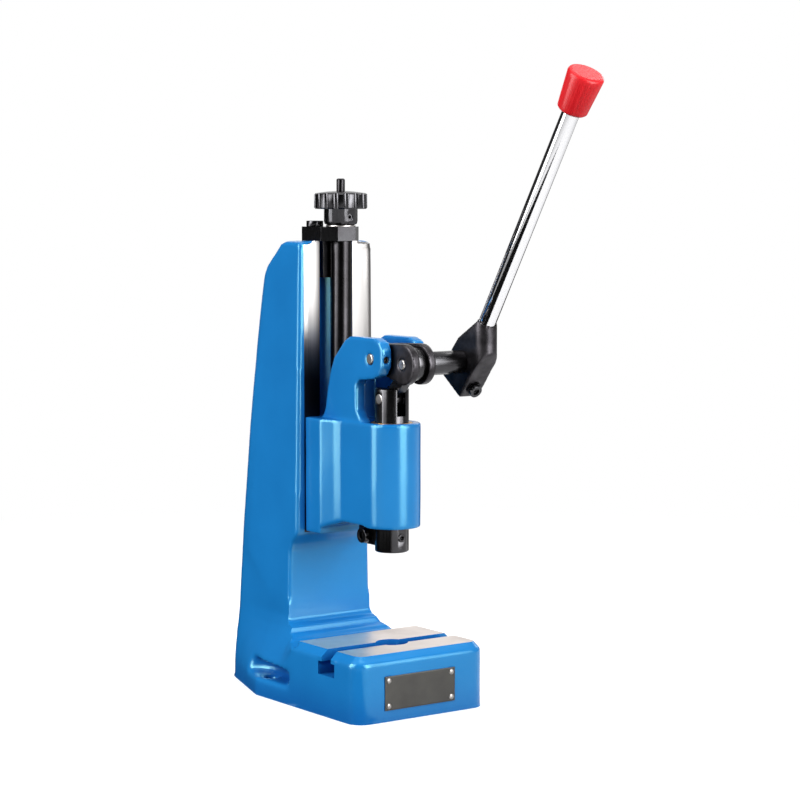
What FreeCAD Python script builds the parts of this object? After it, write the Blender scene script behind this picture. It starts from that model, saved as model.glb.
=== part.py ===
"""Bench lever press: every loose piece of it, in millimetres, standing where it sits when the lever is up.

The ram's axis is the Z axis and the bench is the plane z = 0. The press faces -Y and +Y runs back to its
column. Each piece is one labelled object of the document and goes to one STEP file of the same name.
"""
import FreeCAD, Part
import Sketcher
import math
import os
import re

from FreeCAD import Placement, Rotation, Vector

DOC = FreeCAD.newDocument("lever_press")

# ---------------------------------------------------------------------------------------------- sizes
SIZES = {
    # base: a block under the ram, flared feet behind it
    "base_width": 118.0, "base_front": 39.0, "base_side_rear": 94.0, "base_corner": 12.0,
    "table_height": 49.0, "deck_drop": 5.0, "table_rear": 43.0, "table_bevel": 5.5,
    "slot_neck": 12.0, "slot_wide": 21.0, "slot_lip": 8.5, "slot_depth": 18.5, "die_bore": 24.0,
    "foot_thickness": 14.0, "foot_scoop": 10.6, "foot_scoop_radius": 48.0, "foot_scoop_reach": 21.0,
    "foot_hole": 9.0, "foot_hole_side": 48.0, "foot_hole_rear": 90.0, "foot_scoop_rear": 90.0,
    # column
    "ways_front": 72.0, "ways_width": 63.0, "ways_foot": 125.0, "column_top": 344.5,
    "column_front": 81.5, "column_rear_top": 130.5, "column_rear_foot": 168.0,
    "column_width_foot": 72.0, "column_corner": 10.0, "column_top_depth": 25.0,
    "column_top_slope": 30.0, "groove_mouth": 30.0, "groove_depth": 10.5, "dovetail_angle": 60.0,
    # head casting
    "head_foot": 126.0, "head_top": 213.0, "block_width": 58.0, "block_depth": 20.0,
    "neck_width": 44.0, "neck_front": 34.0, "neck_foot": 137.0,
    "barrel_diameter": 42.2, "barrel_foot": 135.5, "ear_outside": 40.0, "ear_gap": 22.5,
    "ear_rise": 15.5, "ear_front": 15.7, "ear_web": 36.0,
    "gib_thickness": 3.0, "slide_gap": 0.05, "bush_length": 20.0, "bush_wall": 2.5,
    # linkage
    "pivot_height": 260.0, "knee_front": 26.0, "knee_drop": 3.0, "link_reach": 29.5,
    "pin_diameter": 8.0, "fit_gap": 0.03, "crank_width": 20.5, "crank_slot": 8.2,
    "crank_boss": 11.0, "crank_lobe": 15.0, "crank_slot_rear": 9.6,
    "link_thickness": 7.4, "link_width": 10.0, "link_eye": 8.0, "link_knee_eye": 12.2,
    "lever_travel": 50.0, "ram_stroke": 26.6, "link_swing": 21.6, "knee_clearance": 0.5,
    # ram and what is clamped on it
    "ram_diameter": 25.0, "ram_foot": 117.3, "fork_rise": 8.0, "ram_slot": 7.9, "ram_slot_depth": 20.5,
    "tool_bore": 10.0, "tool_bore_depth": 30.0, "tool_screw_height": 11.0, "tool_screw": 6.0,
    "arm_width": 16.0, "arm_rear": 35.0, "arm_foot": 121.0, "arm_height": 13.5, "arm_seat": 9.5,
    "guide_rear": 28.5, "guide_diameter": 7.0, "guide_top": 196.0, "arm_screw_rear": 19.2, "arm_screw": 7.0,
    # spindle and its bearing plate
    "spindle_rear": 65.5, "spindle_diameter": 16.0, "spindle_foot": 131.0, "spindle_journal": 8.0,
    "spindle_end": 391.0, "spindle_tip": 6.4, "plate_screw_reach": 18.0, "low_head": 0.55,
    "plate_width": 34.4, "plate_thickness": 10.5, "plate_front": 57.5, "plate_rear": 92.5,
    "plate_chamfer": 9.2, "plate_leg_width": 24.0, "plate_leg_depth": 27.5, "plate_leg_thickness": 10.0,
    "plate_screw_side": 10.0, "plate_screw_rear": 85.5, "washer_thickness": 1.3,
    "hub_diameter": 25.4, "hub_height": 12.0, "wheel_diameter": 40.0, "wheel_height": 13.4,
    "wheel_dome": 2.0, "flute_count": 16.0, "flute_diameter": 4.4,
    # lever: a stub out to the right from the knee, the clamp block on its end, the rod and its knob
    "stub_diameter": 17.2, "stub_length": 33.0, "stub_spigot": 12.0, "spigot_length": 12.0,
    "stub_socket": 14.0,
    "clamp_width": 17.6, "clamp_nose_front": 18.0, "clamp_collar": 15.0, "clamp_collar_depth": 11.0,
    "rod_diameter": 13.0, "rod_lean": 31.8, "rod_visible": 177.9, "rod_seat": 14.0,
    "rod_root_front": 20.0, "rod_root_rise": 28.8,
    "knob_length": 30.4, "knob_end": 26.6, "knob_neck": 22.0, "knob_round": 2.4, "knob_seat": 18.0,
    # side outline of the clamp block: how far each corner is in front of the knee pin, and above it
    "clamp_front_1": 19.0, "clamp_up_1": 31.0, "clamp_front_2": -3.6, "clamp_up_2": 17.7,
    "clamp_front_3": -11.4, "clamp_up_3": 8.8, "clamp_front_4": -21.8, "clamp_up_4": -11.1,
    "clamp_front_5": -1.5, "clamp_up_5": -26.4, "clamp_front_6": 0.9, "clamp_up_6": -23.8,
    "clamp_front_7": 7.6, "clamp_up_7": -16.3, "clamp_front_8": 15.0, "clamp_up_8": -6.6,
    "clamp_front_9": 26.8, "clamp_up_9": 6.6, "clamp_front_10": 26.8, "clamp_up_10": 27.6,
    "clamp_seat_front": 3.5, "clamp_seat_drop": 19.5, "clamp_screw_lean": 58.0, "clamp_screw_reach": 10.0,
    # name plate and small fasteners
    "label_width": 63.0, "label_height": 25.0, "label_side": -3.0, "label_foot": 8.5,
    "label_thickness": 0.8, "rivet_diameter": 3.0, "rivet_inset": 3.2,
    "screw_large": 8.0, "screw_small": 6.0, "grub_diameter": 5.0,
}

SHEET = DOC.addObject("Spreadsheet::Sheet", "Sizes")
for row, (alias, number) in enumerate(SIZES.items(), start=1):
    SHEET.set(f"A{row}", str(number))
    SHEET.setAlias(f"A{row}", alias)
DOC.recompute()

ALIAS = re.compile(r"\b(" + "|".join(sorted(SIZES, key=len, reverse=True)) + r")\b")
TURNS = {
    "Z": Rotation(), "-Z": Rotation(Vector(1, 0, 0), 180),
    "X": Rotation(Vector(0, 1, 0), 90), "-X": Rotation(Vector(0, 1, 0), -90),
    "Y": Rotation(Vector(1, 0, 0), -90), "-Y": Rotation(Vector(1, 0, 0), 90),
}
NODES = []
RAM_PIN = "(pivot_height - link_reach)"
RAM_TOP = "(pivot_height - link_reach + fork_rise)"
EAR_TOP = "(pivot_height + ear_rise)"


def size(alias):
    """The number that the sheet holds under an alias."""
    return float(getattr(SHEET, alias))


def bind(thing, prop, text):
    """Bind one property to an expression written with the sheet's aliases."""
    thing.setExpression(prop, ALIAS.sub(r"Sizes.\1", str(text)))


def place(thing, x="0", y="0", z="0", along="Z"):
    """Turn a piece's own Z along an axis of the press and bind its foot to a point."""
    turn = TURNS[along] if isinstance(along, str) else along
    thing.Placement = Placement(Vector(), turn)
    for axis, text in zip("xyz", (x, y, z)):
        bind(thing, f"Placement.Base.{axis}", text)
    return thing


def node(thing, label):
    """Name a finished piece; its STEP file takes the same name."""
    thing.Label = label
    NODES.append(thing)
    return thing


def cylinder(name, radius, height, x="0", y="0", z="0", along="Z"):
    """A round bar that starts at a point and runs along an axis."""
    thing = DOC.addObject("Part::Cylinder", name)
    bind(thing, "Radius", radius)
    bind(thing, "Height", height)
    return place(thing, x, y, z, along)


def box(name, across, deep, high, x="0", y="0", z="0", along="Z"):
    """A square block from its low corner."""
    thing = DOC.addObject("Part::Box", name)
    for prop, text in zip(("Length", "Width", "Height"), (across, deep, high)):
        bind(thing, prop, text)
    return place(thing, x, y, z, along)


def hexagon(name, across_flats, height, x="0", y="0", z="0", along="Z"):
    """A six-sided bar, given across its flats."""
    thing = DOC.addObject("Part::Prism", name)
    thing.Polygon = 6
    bind(thing, "Circumradius", f"({across_flats}) / 2 / cos(30)")
    bind(thing, "Height", height)
    return place(thing, x, y, z, along)


def fuse(name, *things):
    """One solid from several that meet."""
    thing = DOC.addObject("Part::MultiFuse", name)
    thing.Shapes = list(things)
    thing.Refine = True
    return thing


def cut(name, base, *tools):
    """A solid less one or more tools."""
    tool = tools[0] if len(tools) == 1 else fuse(name + "_tools", *tools)
    thing = DOC.addObject("Part::Cut", name)
    thing.Base, thing.Tool = base, tool
    thing.Refine = True
    return thing


def common(name, *things):
    """What several solids share."""
    thing = DOC.addObject("Part::MultiCommon", name)
    thing.Shapes = list(things)
    return thing


def group(name, *things):
    """Identical fasteners kept together as separate solids."""
    thing = DOC.addObject("Part::Compound", name)
    thing.Links = list(things)
    return thing


def outline(body, plane, points):
    """A closed sketch of straight runs whose corners are bound to expressions."""
    sketch = body.newObject("Sketcher::SketchObject", body.Name + "_outline")
    origin = [f for f in body.Origin.OriginFeatures if f.Role == plane + "_Plane"][0]
    sketch.AttachmentSupport = [(origin, "")]
    sketch.MapMode = "FlatFace"
    count = len(points)
    radius, turn = 10.0, 2 * math.pi / count
    start = [Vector(radius * math.cos(turn * i), radius * math.sin(turn * i)) for i in range(count)]
    for i in range(count):
        sketch.addGeometry(Part.LineSegment(start[i], start[(i + 1) % count]), False)
    for i in range(count):
        sketch.addConstraint(Sketcher.Constraint("Coincident", i, 2, (i + 1) % count, 1))
    for i, (across, up) in enumerate(points):
        for kind, text, first in (("DistanceX", across, start[i].x), ("DistanceY", up, start[i].y)):
            row_number = sketch.addConstraint(Sketcher.Constraint(kind, -1, 1, i, 1, first))
            bind(sketch, f"Constraints[{row_number}]", text)
    return sketch


def slab(name, plane, points, thickness, x="0", y="0", z="0", middle=True):
    """A flat piece of one outline: padded both ways from its plane, or one way."""
    body = DOC.addObject("PartDesign::Body", name)
    pad = body.newObject("PartDesign::Pad", name + "_pad")
    pad.Profile = outline(body, plane, points)
    bind(pad, "Length", thickness)
    if middle:
        pad.SideType = "Symmetric"
    return place(body, x, y, z)


def turned(name, points, x="0", y="0", z="0", along="Z"):
    """A turned piece: its half outline (radius, height) carried round its own Z axis."""
    body = DOC.addObject("PartDesign::Body", name)
    turning = body.newObject("PartDesign::Revolution", name + "_turning")
    sketch = outline(body, "XZ", points)
    turning.Profile = sketch
    turning.ReferenceAxis = (sketch, ["V_Axis"])
    turning.Angle = 360
    return place(body, x, y, z, along)


def rounded(name, base, radius, wanted):
    """Fillet the edges of a piece for which wanted(edge) holds."""
    DOC.recompute()
    picked = [i for i, edge in enumerate(base.Shape.Edges, start=1) if wanted(edge)]
    thing = DOC.addObject("Part::Fillet", name)
    thing.Base = base
    thing.Edges = [(i, radius, radius) for i in picked]
    return thing


def cap_screw(name, diameter, length, x="0", y="0", z="0", along="Z", head_share="0.9"):
    """A socket head screw whose head stands on the given point and whose shank runs back from it."""
    head = cylinder(name + "_head", f"({diameter}) * 0.8", f"({diameter}) * ({head_share})")
    shank = cylinder(name + "_shank", f"({diameter}) / 2", length, z=f"-({length})")
    socket = hexagon(name + "_socket", f"({diameter}) * 0.8", f"({diameter}) * 0.5",
                     z=f"({diameter}) * (({head_share}) - 0.45)")
    return place(cut(name, fuse(name + "_blank", head, shank), socket), x, y, z, along)


def grub_screw(name, diameter, length, x="0", y="0", z="0", along="Z"):
    """A headless screw that starts at a point, with its socket at the far end."""
    shank = cylinder(name + "_shank", f"({diameter}) / 2", length)
    socket = hexagon(name + "_socket", f"({diameter}) / 2", f"({diameter}) / 2",
                     z=f"({length}) - ({diameter}) / 2")
    return place(cut(name, shank, socket), x, y, z, along)


# -------------------------------------------------------------------------------------- frame casting
def column_sections():
    """Plan outlines of the column and its flared feet, from below the bench to above the top."""
    half_base, half_foot, half_top = (size(a) / 2 for a in ("base_width", "column_width_foot", "ways_width"))
    foot, deck = size("foot_thickness"), size("table_height") - size("deck_drop")
    low, top = size("column_top") * 0.175, size("column_top")
    flare = half_base - half_foot + 0.5
    flare_shares = [(-2.0, 1.0), (foot, 1.0), (foot + 6, 0.88), (foot + 13, 0.7), (foot + 21, 0.48),
                    (deck, 0.26), (deck + 8, 0.12), (low, 0.04)]
    steps = [(height, half_foot + flare * share) for height, share in flare_shares]
    steps += [(low + (top + 2 - low) * part, half_foot + (half_top - half_foot) * part)
              for part in (0.15, 0.3, 0.5, 0.7, 0.85, 1.0)]
    corner, straight = size("column_corner"), size("column_top") - size("column_top_slope")
    for height, half in steps:
        lean = (max(height, 0) / straight) ** 1.6
        rear = size("column_rear_foot") + (size("column_rear_top") - size("column_rear_foot")) * lean
        tail = min(half, half_top + (half - half_top) * 0.22 + min(1.0, max(0.0, (height - foot) / 20)))
        shoulder = size("base_side_rear") if half > half_foot + 0.1 else rear - corner * 2
        fuller = 0.35 * (half_base - half) * min(1.0, max(0.0, (deck + 8 - height) / 22))
        yield [Vector(x, y, height) for x, y in (
            (-half_base - 4, -size("base_front") - 20), (-half_base - 4, size("table_rear") - 3),
            (-half - 1.5 - fuller, size("table_rear") + 25), (-half, shoulder),
            (-tail, rear - corner), (-tail + corner * 0.29, rear - corner * 0.29), (-tail + corner, rear))]


def casting_sides():
    """The solid that trims the frame in plan: straight beside the table, drawn in to the column behind it."""
    wires = []
    for left in column_sections():
        right = [Vector(-point.x, point.y, point.z) for point in reversed(left)]
        wires.append(Part.makePolygon(left + right + left[:1]))
    trim = DOC.addObject("Part::Feature", "casting_sides")
    trim.Shape = Part.makeLoft(wires, True, True)
    return trim


def is_upright(x_abs, y_value):
    """A test for upright edges at a distance from the middle plane and a place front to back."""
    def wanted(edge):
        box_of = edge.BoundBox
        upright = box_of.ZLength > 1 and box_of.XLength < 0.01 and box_of.YLength < 0.01
        return upright and abs(abs(box_of.Center.x) - x_abs) < 0.01 and abs(box_of.Center.y - y_value) < 0.01
    return wanted


def frame_casting():
    """Base block, flared feet and column in one iron casting, with its machined table and ways."""
    deck = "table_height - deck_drop"
    column = slab("column_side", "YZ", [
        ("table_rear", "0"), ("table_rear", deck), ("table_rear + 22", deck),
        ("table_rear + 25", f"{deck} + 3.5"), ("table_rear + 30", f"{deck} + 5"),
        ("table_rear + 31.5", f"{deck} + 9"),
        ("column_front - 2", f"{deck} + 11"), ("column_front", f"{deck} + 14"),
        ("column_front", "ways_foot - 15"), ("column_front - 2.6", "ways_foot - 8"),
        ("ways_front + 1.5", "ways_foot - 3"),
        ("ways_front", "ways_foot"), ("ways_front", "column_top"),
        ("ways_front + column_top_depth", "column_top"),
        ("column_rear_top - 5", "column_top - column_top_slope + 5"),
        ("column_rear_top + 3", "column_top - column_top_slope - 6"),
        ("column_rear_foot + 14", "foot_thickness"),
        ("column_rear_foot + 14", "0")], "base_width")
    block = box("base_block", "base_width", "base_front + column_front", "table_height",
                x="-base_width / 2", y="-base_front")
    half, front, top = size("base_width") / 2, -size("base_front"), size("table_height")
    block = rounded("base_corners", block, size("base_corner"), is_upright(half, front))
    rear = size("column_front")
    DOC.recompute()
    bevel = DOC.addObject("Part::Chamfer", "table_bevel")
    bevel.Base = block
    rim = [i for i, edge in enumerate(block.Shape.Edges, start=1)
           if edge.BoundBox.ZMin > top - 0.01 and edge.BoundBox.YMin < rear - 1]
    bevel.Edges = [(i, size("table_bevel"), size("table_bevel")) for i in rim]
    step = box("deck_step", "base_width", "column_front", "deck_drop + 1",
               x="-base_width / 2", y="table_rear", z=deck)
    body = common("casting_trimmed", fuse("casting_rough", cut("base_stepped", bevel, step), column),
                  casting_sides())
    tools = [
        box("slot_neck_tool", "base_width + 2", "slot_neck", "slot_lip + 1",
            x="-base_width / 2 - 1", y="-slot_neck / 2", z="table_height - slot_lip"),
        box("slot_wide_tool", "base_width + 2", "slot_wide", "slot_depth - slot_lip",
            x="-base_width / 2 - 1", y="-slot_wide / 2", z="table_height - slot_depth"),
        cylinder("die_bore_tool", "die_bore / 2", "table_height + 2", z="-1"),
        slab("groove_tool", "XY", dovetail("0", "groove_depth", "0", "0"), "column_top - ways_foot + 10",
             z="ways_foot - 1", middle=False),
    ]
    for side, sign in (("left", "-"), ("right", "")):
        tools.append(cylinder(f"foot_hole_{side}", "foot_hole / 2", "foot_thickness + 2",
                              x=f"{sign}foot_hole_side", y="foot_hole_rear", z="-1"))
        tools.append(cylinder(f"foot_scoop_{side}", "foot_scoop_radius", "foot_scoop",
                              x=f"{sign}(base_width / 2 + foot_scoop_radius - foot_scoop_reach)",
                              y="foot_scoop_rear", z="foot_thickness"))
    tools += [cylinder(f"plate_hole_{side}", "screw_large / 2 + fit_gap", "plate_screw_reach + 7",
                       x=f"{sign}plate_screw_side", y="plate_screw_rear",
                       z="column_top - plate_screw_reach - 3")
              for side, sign in (("left", "-"), ("right", ""))]
    for index, (x, z) in enumerate(rivet_places()):
        tools.append(cylinder(f"rivet_hole_{index}", "rivet_diameter / 2", "6", x=x, y="-base_front + 4", z=z,
                              along="-Y"))
    return node(cut("frame_casting_solid", body, *tools), "frame_casting")


def wall(depth):
    """Half the dovetail groove's width at a depth behind the face of the ways."""
    return f"(groove_mouth / 2 + ({depth}) / tan(dovetail_angle))"


def dovetail(start, depth, left, right):
    """Plan of a dovetail between two depths, with what its walls stand off from the groove's."""
    return [(f"-({wall(start)} - ({left}))", f"ways_front + {start}"),
            (f"{wall(start)} - ({right})", f"ways_front + {start}"),
            (f"{wall(depth)} - ({right})", f"ways_front + {depth}"),
            (f"-({wall(depth)} - ({left}))", f"ways_front + {depth}")]


def rivet_places():
    """The corners of the name plate, drawn in by the rivets' inset, as pairs of expressions."""
    for side in ("-", "+"):
        for height in ("rivet_inset", "label_height - rivet_inset"):
            yield f"label_side {side} (label_width / 2 - rivet_inset)", f"label_foot + {height}"


def name_plate():
    """A bare dark plate on the base's front face, and the four rivets that hold it."""
    plate = box("label_blank", "label_width", "label_thickness", "label_height",
                x="label_side - label_width / 2", y="-base_front - label_thickness", z="label_foot")
    holes, rivets = [], []
    for index, (x, z) in enumerate(rivet_places()):
        holes.append(cylinder(f"label_hole_{index}", "rivet_diameter / 2", "label_thickness + 2", x=x,
                              y="-base_front + 1", z=z, along="-Y"))
        rivets.append(turned(f"rivet_{index}", [
            ("0", "-4"), ("rivet_diameter / 2 - fit_gap", "-4"), ("rivet_diameter / 2 - fit_gap", "0"),
            ("rivet_diameter * 0.8", "0"), ("rivet_diameter * 0.55", "rivet_diameter * 0.25"),
            ("0", "rivet_diameter * 0.35")], x=x, y="-base_front - label_thickness", z=z, along="-Y"))
    node(cut("label_plate", plate, *holes), "name_plate")
    node(group("rivets", *rivets), "plate_rivets")


# -------------------------------------------------------------------------------------- head casting
def ear(name, side):
    """One cheek that carries the pivot: it rises from the slide and reaches out over the ram."""
    plate = slab(name, "YZ", [
        ("5", "head_top - 3"), ("12", "head_top + 2"), ("17.3", "head_top + 9"),
        ("17.3", "pivot_height - 20"),
        ("14", "pivot_height - 16"), ("-3", "pivot_height - 14.5"),
        ("4.5 - ear_front", "pivot_height - 11.5"),
        ("-ear_front", "pivot_height - 5"), ("-ear_front", "pivot_height + 7"),
        ("3.5 - ear_front", f"{EAR_TOP} - 2.6"), ("11 - ear_front", EAR_TOP), ("26", EAR_TOP),
        ("32", f"{EAR_TOP} - 3"), ("46.3", "pivot_height - 1"), ("51.3", "pivot_height - 11.5"),
        ("55.2", "pivot_height - 25"),
        ("ways_front - 13.5", "head_top + 6"), ("ways_front - 10", "head_top + 1"),
        ("ways_front - 10", "head_top - 3")],
        "(ear_outside - ear_gap) / 2", x=f"{side}(ear_outside + ear_gap) / 4")
    return plate


def head_casting():
    """Slide block, neck, ram barrel and pivot ears in one casting that rides on the column's dovetail."""
    block = box("slide_block", "block_width", "block_depth - slide_gap", "head_top - head_foot",
                x="-block_width / 2", y="ways_front - block_depth", z="head_foot")
    plan = slab("neck_plan", "XY", [
        ("-block_width / 2", "ways_front - slide_gap"), ("-block_width / 2", "ways_front - block_depth"),
        ("-neck_width / 2 - 1.5", "neck_front + 6"), ("-neck_width / 2", "neck_front"),
        ("-neck_width / 2 + 1", "0"),
        ("neck_width / 2 - 1", "0"), ("neck_width / 2", "neck_front"),
        ("neck_width / 2 + 1.5", "neck_front + 6"),
        ("block_width / 2", "ways_front - block_depth"), ("block_width / 2", "ways_front - slide_gap")],
        "head_top - head_foot", z="head_foot", middle=False)
    side = slab("neck_side", "YZ", [
        ("0", "neck_foot"), ("neck_front", "neck_foot"), ("neck_front + 12", "neck_foot - 4"),
        ("neck_front + 22", "neck_foot - 8"), ("ways_front - slide_gap", "head_foot"),
        ("ways_front - slide_gap", "head_top"),
        ("0", "head_top")], "block_width")
    barrel = cylinder("barrel", "barrel_diameter / 2", "head_top - barrel_foot", z="barrel_foot")
    web = slab("ear_web", "YZ", [
        ("ear_web", "head_top - 3"), ("ear_web", "pivot_height - 12"), ("ear_web + 4", "pivot_height - 5"),
        ("44", "pivot_height - 6"), ("49", "pivot_height - 15"), ("52.5", "pivot_height - 27"),
        ("ways_front - 16", "head_top + 8"), ("ways_front - 10", "head_top + 1"),
        ("ways_front - 10", "head_top - 3")],
        "ear_gap + 2")
    tail = slab("male_dovetail", "XY", dovetail("-slide_gap", "(groove_depth - slide_gap * 4)",
                                                "gib_thickness + slide_gap * 3", "slide_gap"),
                "head_top - head_foot - 1", z="head_foot + 1", middle=False)
    body = fuse("head_rough", common("neck", plan, side), block, barrel, web, tail, ear("ear_left", "-"),
                ear("ear_right", ""))
    bush_radius = "ram_diameter / 2 + fit_gap * 1.5 + bush_wall"
    tools = [
        cylinder("ram_bore", "ram_diameter / 2 + 0.3", "head_top - barrel_foot + 30", z="barrel_foot - 1"),
        cylinder("bush_seat_top", bush_radius, "bush_length + 30", z="head_top - bush_length"),
        cylinder("bush_seat_foot", bush_radius, "bush_length + 1", z="barrel_foot - 1"),
        cylinder("pivot_bore", "pin_diameter / 2 + fit_gap", "ear_outside + 2", x="-ear_outside / 2 - 1",
                 z="pivot_height", along="X"),
        cylinder("guide_bore", "guide_diameter / 2 + 0.08", "guide_top + ram_stroke - neck_foot",
                 y="guide_rear",
                 z="neck_foot - 12"),
        cylinder("spindle_thread", "spindle_diameter / 2 + fit_gap", f"{EAR_TOP} - head_foot",
                 y="spindle_rear",
                 z="head_foot - 1"),
    ]
    for name, sign in (("left", "-"), ("right", "")):
        tools.append(cylinder(f"pivot_grub_hole_{name}", "grub_diameter / 2 + fit_gap", "ear_front",
                              x=f"{sign}(ear_outside + ear_gap) / 4", y="-ear_front - 1", z="pivot_height",
                              along="Y"))
    node(cut("head_casting_solid", body, *tools), "head_casting")
    for label, foot in (("upper_ram_bush", "head_top - bush_length"), ("lower_ram_bush", "barrel_foot")):
        node(turned(label + "_ring", [
            ("ram_diameter / 2 + fit_gap", "0"), (bush_radius + " - 0.01", "0"),
            (bush_radius + " - 0.01", "bush_length"),
            ("ram_diameter / 2 + fit_gap", "bush_length")], z=foot), label)
    node(turned("pivot_pin_bar", pin_outline("ear_outside + 0.6"), x="-ear_outside / 2 - 0.3",
                z="pivot_height",
                along="X"), "pivot_pin")
    grubs = [grub_screw(f"pivot_grub_{name}", "grub_diameter", "ear_front - pin_diameter / 2 - 1.5",
                        x=f"{sign}(ear_outside + ear_gap) / 4", y="-pin_diameter / 2 - fit_gap * 2",
                        z="pivot_height",
                        along="-Y") for name, sign in (("left", "-"), ("right", ""))]
    node(group("pivot_grubs", *grubs), "pivot_grub_screws")


def pin_outline(length, radius="pin_diameter / 2", chamfer="0.6"):
    """Half outline of a plain pin with a small chamfer at each end."""
    return [("0", "0"), (f"{radius} - {chamfer}", "0"), (radius, chamfer), (radius, f"{length} - {chamfer}"),
            (f"{radius} - {chamfer}", length), ("0", length)]


def gib_strip():
    """The flat strip that takes up play on the left wall of the dovetail."""
    deep = "(groove_depth - slide_gap * 3)"
    node(slab("gib_bar", "XY", [
        (f"-({wall('slide_gap * 4')} - slide_gap)", "ways_front + slide_gap * 4"),
        (f"-({wall(deep)} - slide_gap)", f"ways_front + {deep}"),
        (f"-({wall(deep)} - gib_thickness - slide_gap * 2)", f"ways_front + {deep}"),
        (f"-({wall('slide_gap * 4')} - gib_thickness - slide_gap * 2)", "ways_front + slide_gap * 4")],
        "head_top - head_foot - 6", z="head_foot + 4", middle=False), "gib_strip")


# -------------------------------------------------------------------------------------- spindle
def bearing_plate():
    """The block on the column's top that carries the spindle, with a leg down the groove."""
    corner = "plate_width / 2 - plate_chamfer"
    top = slab("plate_top", "XY", [
        ("-plate_width / 2", "plate_rear"), ("-plate_width / 2", "plate_front + plate_chamfer"),
        (f"-({corner})", "plate_front"),
        (corner, "plate_front"), ("plate_width / 2", "plate_front + plate_chamfer"),
        ("plate_width / 2", "plate_rear")],
        "plate_thickness", z="column_top", middle=False)
    leg = box("plate_leg", "plate_leg_width", "plate_leg_thickness", "plate_leg_depth + 1",
              x="-plate_leg_width / 2",
              y="ways_front - 0.4", z="column_top - plate_leg_depth")
    tools = [cylinder("journal_bore", "spindle_journal / 2 + fit_gap", "plate_thickness + 2",
                      y="spindle_rear",
                      z="column_top - 1"),
             cylinder("spindle_recess", "spindle_diameter / 2 + 0.4", "plate_leg_depth + 20",
                      y="spindle_rear",
                      z="column_top - plate_leg_depth - 20")]
    tools += [cylinder(f"plate_bore_{name}", "screw_large / 2 + fit_gap",
                       "plate_thickness + plate_leg_depth + 2",
                       x=f"{sign}plate_screw_side", y="plate_screw_rear",
                       z="column_top - plate_leg_depth - 1")
              for name, sign in (("left", "-"), ("right", ""))]
    node(cut("bearing_plate_solid", fuse("plate_rough", top, leg), *tools), "bearing_plate")
    screws = [cap_screw(f"plate_screw_{name}", "screw_large", "plate_thickness + plate_screw_reach",
                        x=f"{sign}plate_screw_side", y="plate_screw_rear", z="column_top + plate_thickness",
                        head_share="low_head")
              for name, sign in (("left", "-"), ("right", ""))]
    node(group("plate_screws", *screws), "plate_cap_screws")
    node(turned("thrust_ring", [
        ("spindle_journal / 2 + 0.15", "0"), ("hub_diameter / 2 - 1.6", "0"),
        ("hub_diameter / 2 - 1.6", "washer_thickness"),
        ("spindle_journal / 2 + 0.15", "washer_thickness")], y="spindle_rear",
        z="column_top + plate_thickness"),
        "thrust_washer")


def spindle():
    """The height screw, the fluted knob on its journal and the grub screw that locks the knob."""
    top = "column_top"
    node(turned("spindle_bar", [
        ("0", "0"), ("spindle_diameter / 2 - 1", "0"), ("spindle_diameter / 2", "1"),
        ("spindle_diameter / 2", f"{top} - spindle_foot - 0.1"),
        ("spindle_journal / 2", f"{top} - spindle_foot - 0.1"),
        ("spindle_journal / 2", "spindle_end - spindle_foot - 12"),
        ("spindle_tip / 2", "spindle_end - spindle_foot - 11"),
        ("spindle_tip / 2", "spindle_end - spindle_foot - 0.8"),
        ("spindle_tip / 2 - 0.8", "spindle_end - spindle_foot"),
        ("0", "spindle_end - spindle_foot")], y="spindle_rear", z="spindle_foot"), "height_spindle")
    hub_foot = "column_top + plate_thickness + washer_thickness + 0.05"
    bore = "spindle_journal / 2 + fit_gap"
    wheel = turned("knob_blank", [
        (bore, "0"), ("hub_diameter / 2 - 2.5", "0"), ("hub_diameter / 2 - 0.6", "0.9"),
        ("hub_diameter / 2", "3"),
        ("hub_diameter / 2", "hub_height"), ("wheel_diameter / 2 - 1", "hub_height"),
        ("wheel_diameter / 2", "hub_height + 1"),
        ("wheel_diameter / 2", "hub_height + wheel_height - wheel_dome - 0.6"),
        ("wheel_diameter / 2 - 1.4", "hub_height + wheel_height - wheel_dome + 0.4"),
        ("wheel_diameter / 4", "hub_height + wheel_height - 0.4"), (bore, "hub_height + wheel_height")],
        y="spindle_rear", z=hub_foot)
    flutes, count = [], int(size("flute_count"))
    for index in range(count):
        angle = f"{index} * 360 / flute_count"
        flutes.append(cylinder(f"flute_{index}", "flute_diameter / 2", "wheel_height + 2",
                               x=f"wheel_diameter / 2 * 1.045 * cos({angle})",
                               y=f"spindle_rear + wheel_diameter / 2 * 1.045 * sin({angle})",
                               z=f"{hub_foot} + hub_height - 1"))
    hole = cylinder("knob_grub_hole", "grub_diameter / 2 + fit_gap", "hub_diameter",
                    y="spindle_rear - hub_diameter",
                    z=f"{hub_foot} + hub_height / 2", along="Y")
    node(cut("height_knob_solid", wheel, *flutes, hole), "height_knob")
    node(grub_screw("knob_grub", "grub_diameter", "hub_diameter / 2 - spindle_journal / 2 - 1",
                    y="spindle_rear - spindle_journal / 2 - fit_gap * 2", z=f"{hub_foot} + hub_height / 2",
                    along="-Y"),
         "knob_grub_screw")


# -------------------------------------------------------------------------------------- linkage
def from_knee(front, up):
    """A point that far in front of the knee pin and above it, as placement words."""
    return {"y": f"-knee_front - ({front})", "z": f"pivot_height - knee_drop + ({up})"}


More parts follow.
